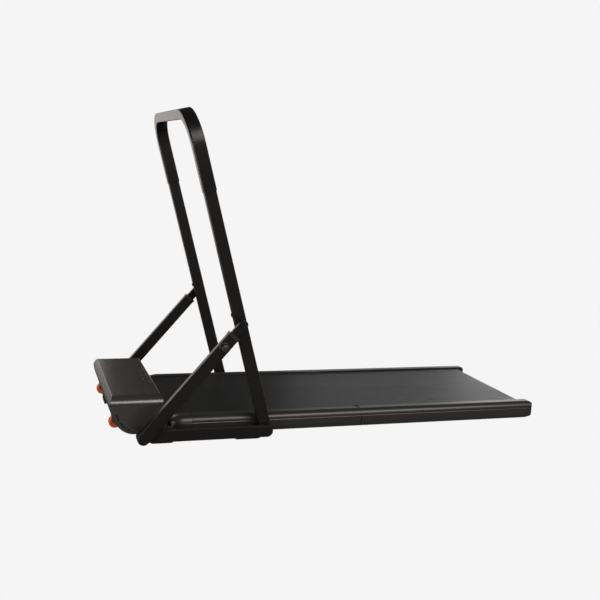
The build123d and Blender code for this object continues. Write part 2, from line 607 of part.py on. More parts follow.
with BuildPart() as base_cross_bars:
    for x_lo, x_hi in CROSS_BARS:
        slab(x_lo, x_hi, -BAR_OUT + 2, BAR_OUT - 2, CROSS_Z, BAR_BOTTOM)
    for side in (-1, 1):
        slab(112, 166, side * 235, side * 258, BAR_BOTTOM, BELLY_Z)
        slab(368, 440, side * 235, side * 262, BAR_BOTTOM, RAIL_BOTTOM)
save("base_cross_bars", base_cross_bars)

with BuildPart() as base_brackets:
    for side in (-1, 1):
        with BuildSketch(side_plane(max(side * 284, side * BAR_IN))):
            with BuildLine():
                Polyline((at(150), BAR_BOTTOM), (at(150), 20), (at(112), 34))
                Bezier((at(112), 34), (at(95), 48), (at(70), 50), (at(69), 34))
                Polyline((at(69), 34), (at(84), BAR_BOTTOM), (at(150), BAR_BOTTOM))
            make_face()
        extrude(amount=BAR_IN - 284)
    rod_y(BRACE_PIVOT_AT, PIVOT_Z, BOLT_R, -330, 330, Mode.SUBTRACT)
save("base_brackets", base_brackets)

with BuildPart() as rubber_feet:
    for x_lo, x_hi in CROSS_BARS:
        for side in (-1, 1):
            with BuildSketch(Plane.XY):
                with Locations((at((x_lo + x_hi) / 2), side * 298)):
                    RectangleRounded(x_hi - x_lo, 28, 6)
            extrude(amount=CROSS_Z)
    for y in (-FOOT_Y, FOOT_Y):
        foot(FRONT_STRAP_AT, y)
save("rubber_feet", rubber_feet)


def hex_socket(y_face, station, z, side, mode=Mode.SUBTRACT):
    """Socket sunk into a bolt head whose outer face lies at side * y_face."""
    with BuildSketch(side_plane(max(side * y_face, side * (y_face - 2.2)))) as socket:
        with Locations((at(station), z)):
            RegularPolygon(3.2, 6)
    extrude(socket.sketch, amount=2.2, mode=mode)


pin_station = brace_pin[0] - at(0)
# brace pivot bolts with their washers and heads outside, upright pivot bolts with heads inside
with BuildPart() as pivot_bolts:
    for side in (-1, 1):
        rod_y(BRACE_PIVOT_AT, PIVOT_Z, BOLT_R, side * 290, side * (SLEEVE_OUT + 0.2))
        rod_y(BRACE_PIVOT_AT, PIVOT_Z, 12, side * BAR_OUT, side * (SLEEVE_IN - 0.2))
        rod_y(BRACE_PIVOT_AT, PIVOT_Z, 8, side * (SLEEVE_OUT + 0.2), side * (SLEEVE_OUT + 3))
    for side in (-1, 1):
        hex_socket(SLEEVE_OUT + 3, BRACE_PIVOT_AT, PIVOT_Z, side)
        rod_y(HANDLE_PIVOT_AT, PIVOT_Z, BOLT_R, side * 281, side * BAR_OUT)
        rod_y(HANDLE_PIVOT_AT, PIVOT_Z, 9, side * 280.6, side * 283.6)
save("pivot_bolts", pivot_bolts)

# ---------------------------------------------------------------- uprights and handle
UPRIGHT_MID = UPRIGHT_OUT - UPRIGHT_T / 2
along = math.cos(lean)
GRIP_START = (GRIP_START_Z - PIVOT_Z) / along
TOP_EDGE = (HEIGHT - PIVOT_Z - GRIP_W / 2 * math.sin(lean)) / along
CROSS_MID = TOP_EDGE - GRIP_T / 2
UPRIGHT_LEN = GRIP_START + 110
UPRIGHT_ANGLE = 90 + LEAN
for word, side in SIDES:
    with BuildPart() as upright:
        plane = swung_plane(max(side * UPRIGHT_OUT, side * (UPRIGHT_OUT - UPRIGHT_T)),
                            HANDLE_PIVOT_AT, PIVOT_Z, UPRIGHT_ANGLE)
        with BuildSketch(plane):
            Circle(UPRIGHT_W / 2)
            with Locations((UPRIGHT_LEN / 2, 0)):
                Rectangle(UPRIGHT_LEN, UPRIGHT_W)
        extrude(amount=UPRIGHT_T)
        corner_edges = [e for e in upright.edges() if e.length > 500]
        fillet(corner_edges, radius=3.5)
        wall = 1.8
        hollow = swung_plane(max(side * (UPRIGHT_OUT - wall), side * (UPRIGHT_OUT - UPRIGHT_T + wall)),
                             HANDLE_PIVOT_AT, PIVOT_Z, UPRIGHT_ANGLE)
        with BuildSketch(hollow):
            with Locations(((UPRIGHT_LEN + 40) / 2, 0)):
                Rectangle(UPRIGHT_LEN - 40, UPRIGHT_W - 2 * wall)
        extrude(amount=UPRIGHT_T - 2 * wall, mode=Mode.SUBTRACT)
        rod_y(HANDLE_PIVOT_AT, PIVOT_Z, BOLT_R + RUN_FIT, side * 270, side * 320, Mode.SUBTRACT)
    save(f"upright_{word}", upright)

# the handle's plane holds the pivots; its local x runs along Y and its local y up along the uprights
handle_plane = Plane(origin=(handle_pivot[0], 0, PIVOT_Z), x_dir=(0, 1, 0),
                     z_dir=(math.cos(lean), 0, math.sin(lean)))


def grip_path():
    with BuildLine(handle_plane) as path:
        FilletPolyline((-UPRIGHT_MID, GRIP_START), (-UPRIGHT_MID, CROSS_MID), (UPRIGHT_MID, CROSS_MID),
                       (UPRIGHT_MID, GRIP_START), radius=GRIP_BEND)
    return path


with BuildPart() as handle_bar:
    path = grip_path()
    start_plane = Plane(origin=path.line @ 0, x_dir=(0, 1, 0), z_dir=path.line % 0)
    with BuildSketch(start_plane):
        RectangleRounded(GRIP_T, GRIP_W, 5)
    sweep(path=path.line, transition=Transition.ROUND)
    with BuildSketch(start_plane):
        RectangleRounded(GRIP_T - 4, GRIP_W - 3, 4)
    sweep(path=path.line, transition=Transition.ROUND, mode=Mode.SUBTRACT)
save("handle_bar", handle_bar)

BUMPER_Z = 386.0
with BuildPart() as upright_bumpers:
    for side in (-1, 1):
        rise = (BUMPER_Z - PIVOT_Z) / along
        centre = handle_plane.from_local_coords((side * UPRIGHT_MID, rise, -UPRIGHT_W / 2))
        facing = Plane(origin=centre, z_dir=-handle_plane.z_dir)
        with BuildSketch(facing):
            Circle(6)
        extrude(amount=3.5)
save("upright_bumpers", upright_bumpers)


# ---------------------------------------------------------------- braces
def brace_plane(y_a, y_b):
    return swung_plane(max(y_a, y_b), BRACE_PIVOT_AT, PIVOT_Z, BRACE_ANGLE)


def brace_block(y_lo, y_hi, from_along, to_along, width, mode=Mode.ADD):
    """Straight bar along the brace, between two distances from its lower pivot."""
    with BuildSketch(brace_plane(y_lo, y_hi)) as face:
        with Locations(((from_along + to_along) / 2, 0)):
            Rectangle(to_along - from_along, width)
    extrude(face.sketch, amount=abs(y_hi - y_lo), mode=mode)


def brace_disc(y_lo, y_hi, distance, radius, mode=Mode.ADD):
    """Round boss on the brace's line."""
    with BuildSketch(brace_plane(y_lo, y_hi)) as disc:
        with Locations((distance, 0)):
            Circle(radius)
    extrude(disc.sketch, amount=abs(y_hi - y_lo), mode=mode)


CAVITY_W, CAVITY_IN, CAVITY_OUT, CAVITY_FROM = 29.0, 328.5, 343.5, 45.0
with BuildPart() as brace_sleeves:
    for side in (-1, 1):
        brace_disc(side * SLEEVE_IN, side * SLEEVE_OUT, 0, SLEEVE_W / 2)
        brace_block(side * SLEEVE_IN, side * SLEEVE_OUT, 0, SLEEVE_LEN, SLEEVE_W)
    long_sleeve_edges = [e for e in brace_sleeves.edges() if e.length > 300]
    fillet(long_sleeve_edges, radius=2.0)
    for side in (-1, 1):
        brace_block(side * CAVITY_IN, side * CAVITY_OUT, CAVITY_FROM, SLEEVE_LEN + 5, CAVITY_W, Mode.SUBTRACT)
        brace_disc(side * 320, side * 350, 0, BOLT_R + RUN_FIT, Mode.SUBTRACT)
        brace_disc(side * 343, side * 350, KNOB_ALONG, 4.3, Mode.SUBTRACT)
save("brace_sleeves", brace_sleeves)

with BuildPart() as brace_collars:
    for side in (-1, 1):
        brace_block(side * (SLEEVE_IN - 0.6), side * (SLEEVE_OUT + 0.6), SLEEVE_LEN, SLEEVE_LEN + 9, SLEEVE_W + 1.2)
        brace_block(side * CAVITY_IN, side * CAVITY_OUT, SLEEVE_LEN - 5, SLEEVE_LEN + 15, CAVITY_W, Mode.SUBTRACT)
save("brace_collars", brace_collars)

BEZEL_OUT = 351.0
with BuildPart() as knob_bezels:
    for side in (-1, 1):
        brace_disc(side * SLEEVE_OUT, side * BEZEL_OUT, KNOB_ALONG, 17.5)
    fillet(knob_bezels.edges().filter_by(GeomType.CIRCLE).group_by(Axis.Y)[0], radius=2.5)
    fillet(knob_bezels.edges().filter_by(GeomType.CIRCLE).group_by(Axis.Y)[-1], radius=2.5)
    for side in (-1, 1):
        brace_disc(side * 340, side * 360, KNOB_ALONG, 12.6, Mode.SUBTRACT)
save("knob_bezels", knob_bezels)

for word, side in SIDES:
    with BuildPart() as knob:
        brace_disc(side * (SLEEVE_OUT + 0.3), side * HALF_WIDTH, KNOB_ALONG, 12)
        cap = knob.edges().filter_by(GeomType.CIRCLE).group_by(Axis.Y)[0 if side < 0 else -1]
        fillet(cap, radius=4.0)
        brace_disc(side * 343.2, side * (SLEEVE_OUT + 0.3), KNOB_ALONG, 4)
    save(f"lock_knob_{word}", knob)

INNER_FROM = 60.0
with BuildPart() as brace_inner_bars:
    for side in (-1, 1):
        brace_block(side * INNER_IN, side * INNER_OUT, INNER_FROM, BRACE_LEN, INNER_W)
        brace_disc(side * INNER_IN, side * INNER_OUT, BRACE_LEN, INNER_W / 2)
    long_inner_edges = [e for e in brace_inner_bars.edges() if e.length > 300]
    fillet(long_inner_edges, radius=1.5)
    for side in (-1, 1):
        brace_disc(side * 320, side * 350, BRACE_LEN, BOLT_R, Mode.SUBTRACT)
save("brace_inner_bars", brace_inner_bars)

with BuildPart() as brace_upper_bolts:
    for side in (-1, 1):
        brace_disc(side * 309.2, side * INNER_IN, BRACE_LEN, 11)
        brace_disc(side * INNER_IN, side * INNER_OUT, BRACE_LEN, BOLT_R)
        brace_disc(side * INNER_OUT, side * (INNER_OUT + 4), BRACE_LEN, 8.5)
    for side in (-1, 1):
        hex_socket(INNER_OUT + 4, pin_station, BRACE_PIN_Z, side)
save("brace_upper_bolts", brace_upper_bolts)
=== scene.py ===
import math

import bmesh
import bpy
from mathutils import Matrix, Vector


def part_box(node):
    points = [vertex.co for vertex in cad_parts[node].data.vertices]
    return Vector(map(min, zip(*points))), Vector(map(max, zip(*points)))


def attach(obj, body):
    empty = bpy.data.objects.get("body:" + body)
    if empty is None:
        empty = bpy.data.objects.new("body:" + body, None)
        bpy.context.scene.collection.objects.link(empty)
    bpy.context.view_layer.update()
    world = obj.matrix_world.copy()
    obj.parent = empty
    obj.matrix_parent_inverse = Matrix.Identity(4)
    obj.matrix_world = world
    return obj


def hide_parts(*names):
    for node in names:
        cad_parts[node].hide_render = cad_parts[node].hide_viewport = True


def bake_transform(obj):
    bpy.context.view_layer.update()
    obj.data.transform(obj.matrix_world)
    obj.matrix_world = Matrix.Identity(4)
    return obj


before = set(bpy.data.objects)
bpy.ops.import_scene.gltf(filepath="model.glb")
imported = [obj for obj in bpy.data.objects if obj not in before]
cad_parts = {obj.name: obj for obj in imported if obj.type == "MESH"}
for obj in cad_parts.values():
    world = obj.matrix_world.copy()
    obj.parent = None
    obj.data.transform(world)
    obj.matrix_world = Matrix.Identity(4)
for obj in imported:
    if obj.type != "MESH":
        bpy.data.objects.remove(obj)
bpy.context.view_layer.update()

# Visual model of a folding walking treadmill, in metres with +Z up. The motor hood is towards -X and
# the user's left towards -Y.
# Sizes are written as millimetres times MM; places come from the boxes of the CAD nodes.
MM = 0.001
SIDES = (("left", -1), ("right", 1))
LEAN = math.radians(15.59)      # the uprights' lean forward of vertical
UPRIGHT_W, PIVOT_Z, GRIP_START_Z = 36.5 * MM, 25 * MM, 745.6 * MM


# ---------------------------------------------------------------- camera, light and floor
BACKDROP_GREY = 0.913          # linear value of a very pale grey
WORLD_GLOW, FLOOR_PAPER = 0.06, 0.30    # what the part itself is lit by and stands on
EYE = (-0.99391, -2.77104, 0.85312)
YAW, PITCH, ROLL = math.radians(18.65), math.radians(9.27), math.radians(3.08)
LENS = 52.26


def add_camera():
    """Camera turned YAW from +Y towards +X, PITCH downwards, and rolled."""
    forward = Vector((math.sin(YAW) * math.cos(PITCH), math.cos(YAW) * math.cos(PITCH), -math.sin(PITCH)))
    level = Vector((math.cos(YAW), -math.sin(YAW), 0))
    upward = level.cross(forward)
    right = math.cos(ROLL) * level + math.sin(ROLL) * upward
    top = math.cos(ROLL) * upward - math.sin(ROLL) * level
    data = bpy.data.cameras.new("camera")
    data.lens = LENS
    data.sensor_width = 36
    camera = bpy.data.objects.new("camera", data)
    camera.matrix_world = Matrix.Translation(EYE) @ Matrix((right, top, -forward)).transposed().to_4x4()
    bpy.context.scene.collection.objects.link(camera)
    bpy.context.scene.camera = camera


def add_softbox(name, place, target, size, power, colour=(1, 1, 1)):
    """Rectangular area light at place that faces target."""
    data = bpy.data.lights.new(name, "AREA")
    data.shape = "RECTANGLE"
    data.size, data.size_y = size
    data.energy = power
    data.color = colour
    lamp = bpy.data.objects.new(name, data)
    aim = Vector(target) - Vector(place)
    lamp.matrix_world = Matrix.Translation(place) @ aim.to_track_quat("-Z", "Y").to_matrix().to_4x4()
    lamp.visible_camera = False
    bpy.context.scene.collection.objects.link(lamp)


def split_by_ray(tree, seen, unseen):
    """Shader that the camera sees as one and every other ray as another."""
    rays = tree.nodes.new("ShaderNodeLightPath")
    choice = tree.nodes.new("ShaderNodeMixShader")
    tree.links.new(rays.outputs["Is Camera Ray"], choice.inputs[0])
    tree.links.new(unseen.outputs[0], choice.inputs[1])
    tree.links.new(seen.outputs[0], choice.inputs[2])
    return choice


def plain_glow(tree, kind, grey):
    """Shader of one grey, of the given kind."""
    glow = tree.nodes.new(kind)
    glow.inputs["Color"].default_value = (grey, grey, grey, 1)
    return glow


def add_world():
    """Pale backdrop for the camera, dimmer light for the part."""
    world = bpy.data.worlds.new("studio")
    bpy.context.scene.world = world
    world.use_nodes = True
    tree = world.node_tree
    tree.nodes.clear()
    seen = plain_glow(tree, "ShaderNodeBackground", BACKDROP_GREY)
    unseen = plain_glow(tree, "ShaderNodeBackground", WORLD_GLOW)
    output = tree.nodes.new("ShaderNodeOutputWorld")
    tree.links.new(split_by_ray(tree, seen, unseen).outputs[0], output.inputs[0])


def add_floor():
    """Floor that looks like the backdrop and lights the part as grey paper would."""
    mesh = bpy.data.meshes.new("floor")
    reach = 14
    mesh.from_pydata([(-reach, -reach, 0), (reach, -reach, 0), (reach, reach, 0), (-reach, reach, 0)], [],
                     [(0, 1, 2, 3)])
    floor = bpy.data.objects.new("floor", mesh)
    bpy.context.scene.collection.objects.link(floor)
    material = bpy.data.materials.new("floor_paper")
    material.use_nodes = True
    tree = material.node_tree
    tree.nodes.clear()
    seen = plain_glow(tree, "ShaderNodeEmission", BACKDROP_GREY)
    unseen = plain_glow(tree, "ShaderNodeBsdfDiffuse", FLOOR_PAPER)
    output = tree.nodes.new("ShaderNodeOutputMaterial")
    tree.links.new(split_by_ray(tree, seen, unseen).outputs[0], output.inputs[0])
    mesh.materials.append(material)


add_camera()
add_world()
add_floor()
bpy.context.scene.view_settings.view_transform = "Standard"
add_softbox("key", (0.9, -2.4, 2.4), (0.0, 0, 0.2), (3.0, 1.3), 108, (1, 0.93, 0.90))
add_softbox("left_rear", (-1.65, 2.0, 0.85), (-1.3, 0, 0.6), (2.3, 1.7), 18, (1, 0.93, 0.89))
add_softbox("right_rear", (3.1, 2.1, 0.65), (1.9, 0, 0.1), (2.4, 1.3), 19)
add_softbox("middle_rear", (1.65, 2.3, 0.55), (1.1, 0, 0.1), (1.9, 1.0), 5.5)
add_softbox("front", (-2.6, -1.9, 0.5), (-0.7, -0.1, 0.06), (0.8, 0.6), 42, (1, 0.94, 0.9))


# ---------------------------------------------------------------- materials
class Surface:
    """Node material in object coordinates, which are metres in the part's own frame."""

    def __init__(self, name):
        self.material = bpy.data.materials.new(name)
        self.material.use_nodes = True
        self.tree = self.material.node_tree
        self.shader = self.tree.nodes["Principled BSDF"]
        self.place = self.tree.nodes.new("ShaderNodeTexCoord").outputs["Object"]

    def link(self, source, target):
        """Join an output to an input."""
        self.tree.links.new(source, target)

    def noise(self, scale, stretch=(1, 1, 1), detail=4):
        """Noise of the given scale, 1/stretch times as long along each axis."""
        mapping = self.tree.nodes.new("ShaderNodeMapping")
        mapping.inputs["Scale"].default_value = stretch
        self.link(self.place, mapping.inputs["Vector"])
        texture = self.tree.nodes.new("ShaderNodeTexNoise")
        texture.inputs["Scale"].default_value = scale
        texture.inputs["Detail"].default_value = detail
        self.link(mapping.outputs[0], texture.inputs["Vector"])
        return texture.outputs[0]

    def cells(self, scale):
        """Distance to the nearest of scattered points, for a foam's open cells."""
        texture = self.tree.nodes.new("ShaderNodeTexVoronoi")
        texture.inputs["Scale"].default_value = scale
        self.link(self.place, texture.inputs["Vector"])
        return texture.outputs["Distance"]

    def ramp(self, source, low, high, start=0.35, end=0.65):
        """Colour that runs from low to high as source goes from start to end."""
        ramp = self.tree.nodes.new("ShaderNodeValToRGB")
        stops = ramp.color_ramp.elements
        stops[0].position, stops[1].position = start, end
        stops[0].color, stops[1].color = (*low, 1), (*high, 1)
        self.link(source, ramp.inputs[0])
        return ramp.outputs[0]

    def spread(self, source, low, high):
        """Value of source moved from its middle range to low..high."""
        spread = self.tree.nodes.new("ShaderNodeMapRange")
        for key, value in (("From Min", 0.3), ("From Max", 0.7), ("To Min", low), ("To Max", high)):
            spread.inputs[key].default_value = value
        self.link(source, spread.inputs["Value"])
        return spread.outputs[0]

    def worn_edges(self, colour, worn, radius):
        """Colour with its sharp edges rubbed towards worn, and the softened normal of those edges."""
        bevel = self.tree.nodes.new("ShaderNodeBevel")
        bevel.samples = 4
        bevel.inputs["Radius"].default_value = radius
        flat = self.tree.nodes.new("ShaderNodeNewGeometry").outputs["Normal"]
        meet = self.tree.nodes.new("ShaderNodeVectorMath")
        meet.operation = "DOT_PRODUCT"
        self.link(bevel.outputs[0], meet.inputs[0])
        self.link(flat, meet.inputs[1])
        rub = self.tree.nodes.new("ShaderNodeMapRange")
        for key, value in (("From Min", 0.995), ("From Max", 0.80), ("To Min", 0), ("To Max", 0.12)):
            rub.inputs[key].default_value = value
        self.link(meet.outputs["Value"], rub.inputs["Value"])
        patchy = self.tree.nodes.new("ShaderNodeMath")
        patchy.operation = "MULTIPLY"
        self.link(rub.outputs[0], patchy.inputs[0])
        self.link(self.noise(60), patchy.inputs[1])
        mix = self.tree.nodes.new("ShaderNodeMix")
        mix.data_type = "RGBA"
        mix.inputs[7].default_value = (*worn, 1)
        self.link(patchy.outputs[0], mix.inputs[0])
        self.link(colour, mix.inputs[6])
        return mix.outputs[2], bevel.outputs[0]

    def relief(self, height, depth, normal=None):
        """Bump of the given depth, on top of a normal if one is given."""
        bump = self.tree.nodes.new("ShaderNodeBump")
        bump.inputs["Distance"].default_value = depth
        bump.inputs["Strength"].default_value = 1
        self.link(height, bump.inputs["Height"])
        if normal is not None:
            self.link(normal, bump.inputs["Normal"])
        self.link(bump.outputs[0], self.shader.inputs["Normal"])


def surface(name, low, high, rough, grain, depth, metallic=0, coat=0, stretch=(1, 1, 1), worn=None,
            cast=9, cellular=False, specular=0.5):
    """Mottled colour between low and high, grained roughness and relief, and rubbed edges."""
    work = Surface(name)
    colour = work.ramp(work.noise(cast, stretch), low, high)
    normal = None
    if worn is not None:
        colour, normal = work.worn_edges(colour, worn, 1.2 * MM)
    work.link(colour, work.shader.inputs["Base Color"])
    fine = work.cells(grain) if cellular else work.noise(grain, stretch, 2)
    work.link(work.spread(work.noise(grain / 12, stretch), *rough), work.shader.inputs["Roughness"])
    work.relief(fine, depth, normal)
    work.shader.inputs["Metallic"].default_value = metallic
    work.shader.inputs["Coat Weight"].default_value = coat
    work.shader.inputs["Specular IOR Level"].default_value = specular
    return work.material


def grey(level, warmth=1.0):
    """Near grey colour, a little warmer as warmth rises above one."""
    return (level * warmth, level, level / warmth)


ALONG_X, ALONG_Y = (0.04, 1, 1), (1, 0.04, 1)
finish = {
    "frame_black": surface(
        "powder_coat", grey(0.0044, 1.12), grey(0.0051, 1.12), (0.34, 0.38), 1300, 0.012 * MM,
        worn=grey(0.03, 1.05), specular=0.28),
    "grip_black": surface(
        "grip_foam", grey(0.0042, 1.10), grey(0.0050, 1.10), (0.30, 0.34), 900, 0.016 * MM,
        worn=grey(0.02), cellular=True, specular=0.28),
    "rail_grey": surface(
        "rail_anodised", grey(0.016, 1.07), grey(0.019, 1.07), (0.36, 0.41), 700, 0.006 * MM,
        metallic=0.1, stretch=ALONG_X),
    "hood_black": surface(
        "hood_plastic", grey(0.024, 1.05), grey(0.027, 1.05), (0.21, 0.25), 1500, 0.005 * MM,
        coat=0.1, worn=grey(0.05)),
    "trim_black": surface(
        "trim_plastic", grey(0.012, 1.04), grey(0.015, 1.04), (0.34, 0.42), 1200, 0.02 * MM,
        worn=grey(0.035)),
    "window_smoke": surface(
        "smoked_window", grey(0.022, 1.04), grey(0.025, 1.04), (0.20, 0.24), 1800, 0.003 * MM,
        coat=0.1),
    "belt_rubber": surface(
        "belt_pvc", grey(0.0075), grey(0.0095), (0.37, 0.42), 1100, 0.015 * MM, stretch=ALONG_X),
    "foot_rubber": surface(
        "black_rubber", grey(0.012), grey(0.02), (0.62, 0.78), 1500, 0.08 * MM),
    "board_wood": surface(
        "deck_board", (0.20, 0.135, 0.08), (0.31, 0.21, 0.13), (0.5, 0.65), 320, 0.1 * MM,
        stretch=ALONG_X, cast=60),
    "steel": surface(
        "zinc_steel", grey(0.38), grey(0.52), (0.26, 0.38), 800, 0.015 * MM,
        metallic=1, stretch=ALONG_Y, worn=grey(0.7)),
    "chassis_steel": surface(
        "chassis_paint", grey(0.03), grey(0.045), (0.42, 0.55), 900, 0.06 * MM,
        metallic=0.3, worn=grey(0.12)),
    "wheel_orange": surface(
        "orange_tyre", (0.66, 0.12, 0.018), (0.76, 0.16, 0.03), (0.42, 0.52), 800, 0.02 * MM,
        worn=(0.8, 0.25, 0.08)),
    "board_green": surface(
        "circuit_green", (0.012, 0.09, 0.035), (0.025, 0.14, 0.06), (0.32, 0.42), 600, 0.05 * MM),
    "motor_grey": surface(
        "cast_grey", grey(0.16), grey(0.24), (0.42, 0.56), 900, 0.08 * MM,
        metallic=0.7, worn=grey(0.4)),
}
# near-black, barely reflective finish that paints the shade inside slots and seams
slot_shade_paint = surface("slot_shadow", grey(0.0008), grey(0.0014), (0.7, 0.8), 900, 0.01 * MM,
                     specular=0.04)
mark_paint = surface("mark_print", grey(0.045), grey(0.06), (0.4, 0.5), 900, 0.01 * MM)
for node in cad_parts.values():
    for entry in node.material_slots:
        entry.material = finish[entry.material.name.split(".")[0]]
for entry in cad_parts["front_fascia"].material_slots:
    entry.material = finish["hood_black"]


# ---------------------------------------------------------------- building pieces
def add_piece(name, verts, faces, body, slot, material=None, replaced=(), crease=35):
    """Mesh piece that rides on a body and takes a slot's finish."""
    mesh = bpy.data.meshes.new(name)
    mesh.from_pydata(verts, [], faces)
    work = bmesh.new()
    work.from_mesh(mesh)
    bmesh.ops.remove_doubles(work, verts=work.verts, dist=0.001 * MM)
    bmesh.ops.recalc_face_normals(work, faces=work.faces)
    work.to_mesh(mesh)
    work.free()
    mesh.shade_smooth()
    mesh.set_sharp_from_angle(angle=math.radians(crease))
    piece = bpy.data.objects.new(name, mesh)
    bpy.context.scene.collection.objects.link(piece)
    mesh.materials.append(material or finish[slot])
    if body is not None:
        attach(piece, body)
    if replaced:
        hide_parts(*replaced)
    return piece


def turned(profile, place, axis, steps=64, shape=None, ring=False):
    """Turned form: profile of (height, radius) about axis from place.

    The shape function changes a radius by angle, and ring joins the profile's last point to its first.
    """
    turn = Vector(axis).to_track_quat("Z", "X").to_matrix().to_4x4()
    matrix = Matrix.Translation(place) @ turn
    verts, faces = [], []
    for step in range(steps):
        angle = 2 * math.pi * step / steps
        for height, radius in profile:
            out = shape(angle, radius, height) if shape else radius
            verts.append(matrix @ Vector((out * math.cos(angle), out * math.sin(angle), height)))
    count = len(profile)
    rows = count if ring else count - 1
    for step in range(steps):
        after = (step + 1) % steps
        for row in range(rows):
            up = (row + 1) % count
            faces.append((step * count + row, after * count + row, after * count + up, step * count + up))
    return verts, faces


def joined(parts):
    """Several pieces of geometry as one."""
    verts, faces = [], []
    for part_verts, part_faces in parts:
        start = len(verts)
        verts.extend(part_verts)
        faces.extend(tuple(start + index for index in face) for face in part_faces)
    return verts, faces


def bar(outline, start, end, across, upward):
    """Closed bar: an outline in (across, upward) carried from start to end, its ends slightly drawn in."""
    start, end, across, upward = (Vector(v) for v in (start, end, across, upward))
    run = end - start
    tip = min(0.3, 0.6 * MM / run.length)
    verts = []
    for share, size in ((0, 0.75), (tip, 1), (1 - tip, 1), (1, 0.75)):
        for u, v in outline:
            verts.append(start + run * share + across * (u * size) + upward * (v * size))
    count = len(outline)
    faces = [tuple(range(count)), tuple(range(3 * count, 4 * count))]
    for row in range(3):
        for index in range(count):
            after = (index + 1) % count
            faces.append((row * count + index, row * count + after, (row + 1) * count + after,
                          (row + 1) * count + index))
    return verts, faces


def rounded_box(width, height, radius, steps=5):
    """Outline of a rectangle with rounded corners."""
    points = []
    for turn, (sx, sy) in enumerate(((1, 1), (-1, 1), (-1, -1), (1, -1))):
        for step in range(steps + 1):
            angle = math.pi / 2 * (turn + step / steps)
            points.append((sx * (width / 2 - radius) + radius * math.cos(angle),
                           sy * (height / 2 - radius) + radius * math.sin(angle)))
    return points


# ---------------------------------------------------------------- running belt
RIBS, RIB_DEPTH, BELT_T = 72, 0.35 * MM, 1.6 * MM


def add_belt():
    """One endless ribbed belt round both rollers, with its rows closer together where the deck folds."""
    front_lo, front_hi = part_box("front_belt")
    rear_lo, rear_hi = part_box("rear_belt")
    radius = (front_hi.z - front_lo.z) / 2
    middle = (front_hi.z + front_lo.z) / 2
    first, last = front_lo.x + radius, rear_hi.x - radius
    fold, soft = (front_hi.x + rear_lo.x) / 2, 22 * MM
    run = [first + (fold - soft - first) * step / 24 for step in range(24)]
    run += [fold - soft + 2 * soft * step / 30 for step in range(30)]
    run += [fold + soft + (last - fold - soft) * step / 24 for step in range(25)]
    path = [(x, middle + radius, 0, 1) for x in run]
    arc = 20
    for step in range(1, arc):
        angle = math.pi / 2 - math.pi * step / arc
        path.append((last + radius * math.cos(angle), middle + radius * math.sin(angle),
                     math.cos(angle), math.sin(angle)))
    path += [(x, middle - radius, 0, -1) for x in reversed(run)]
    for step in range(1, arc):
        angle = -math.pi / 2 - math.pi * step / arc
        path.append((first + radius * math.cos(angle), middle + radius * math.sin(angle),
                     math.cos(angle), math.sin(angle)))
    half = front_hi.y
    pitch = 2 * half / RIBS
    across = []
    for rib in range(RIBS):
        left = -half + rib * pitch
        across += [(left, RIB_DEPTH), (left + 0.12 * pitch, 0), (left + 0.72 * pitch, 0),
                   (left + 0.84 * pitch, RIB_DEPTH)]
    across.append((half, RIB_DEPTH))
    verts, faces = [], []
    wide = len(across) + 2
    for x, z, nx, nz in path:
        for y, sink in across:
            verts.append((x - nx * sink, y, z - nz * sink))
        for y in (half, -half):
            verts.append((x - nx * BELT_T, y, z - nz * BELT_T))
    for row in range(len(path)):
        after = (row + 1) % len(path)
        for column in range(wide):
            beside = (column + 1) % wide
            faces.append((row * wide + column, row * wide + beside,
                          after * wide + beside, after * wide + column))
    belt = add_piece("running_belt", verts, faces, None, "belt_rubber",
                     replaced=("front_belt", "rear_belt"))
    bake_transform(belt)


add_belt()


# ---------------------------------------------------------------- painted shade in the hood's rim slots
hood_lo, hood_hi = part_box("front_fascia")
# control points in side view, in millimetres back from the hood's front edge and up from the floor
outer_bow = ((0, 107.5), (6, 60), (32, 15), (76, 15))
inner_bow = ((10.5, 129.5), (24, 72), (39, 27), (81, 27))


def on_rim(t):
    """Point three quarters of the way from the outer bow to the inner one, at t along both."""
    weights = ((1 - t) ** 3, 3 * t * (1 - t) ** 2, 3 * t * t * (1 - t), t ** 3)
    outer, inner = (
        Vector((sum(w * p[0] for w, p in zip(weights, bow)), 0, sum(w * p[1] for w, p in zip(weights, bow))))
        for bow in (outer_bow, inner_bow))
    return Vector((hood_lo.x, 0, 0)) + (0.25 * outer + 0.75 * inner) * MM


# near-black strips along the rim's slots paint the shade inside them
slot_shade_strips = []
for _, side in SIDES:
    for t_lo, t_hi in ((0.31, 0.46), (0.52, 0.70), (0.77, 0.86)):
        start, end = on_rim(t_lo), on_rim(t_hi)
        run = (end - start).normalized()
        cross = Vector((run.z, 0, -run.x))
        out = Vector((0, side * (hood_hi.y - 0.2 * MM), 0))
        slot_shade_strips.append(bar(rounded_box(3.2 * MM, 0.8 * MM, 0.3 * MM, 2), start + out, end + out, cross,
                          (0, 1, 0)))
add_piece("rim_slot_shade", *joined(slot_shade_strips), "front_deck", "trim_black", material=slot_shade_paint)

# ---------------------------------------------------------------- rail noses
NOSE_L, NOSE_ROUND = 67 * MM, 42 * MM   # a nose's length, and how much of it is rounded
# in millimetres: the rail's inner side and middle, as distance from the part's middle, and the height
# that a nose is drawn in towards
RAIL_INNER, RAIL_MID, NOSE_MID_Z = 229, 245, 38
# distance from the part's middle and height, in millimetres
rail_outline = ((229, 10), (229, 64.7), (240, 64.7), (250, 64.7), (254, 64.2), (258.5, 62.8),
                (263, 60), (266.6, 56.2), (269.4, 51.4), (271, 46), (269.6, 44.8), (270.4, 43.4),
                (270.4, 34), (270.4, 25), (268, 13), (265, 10))


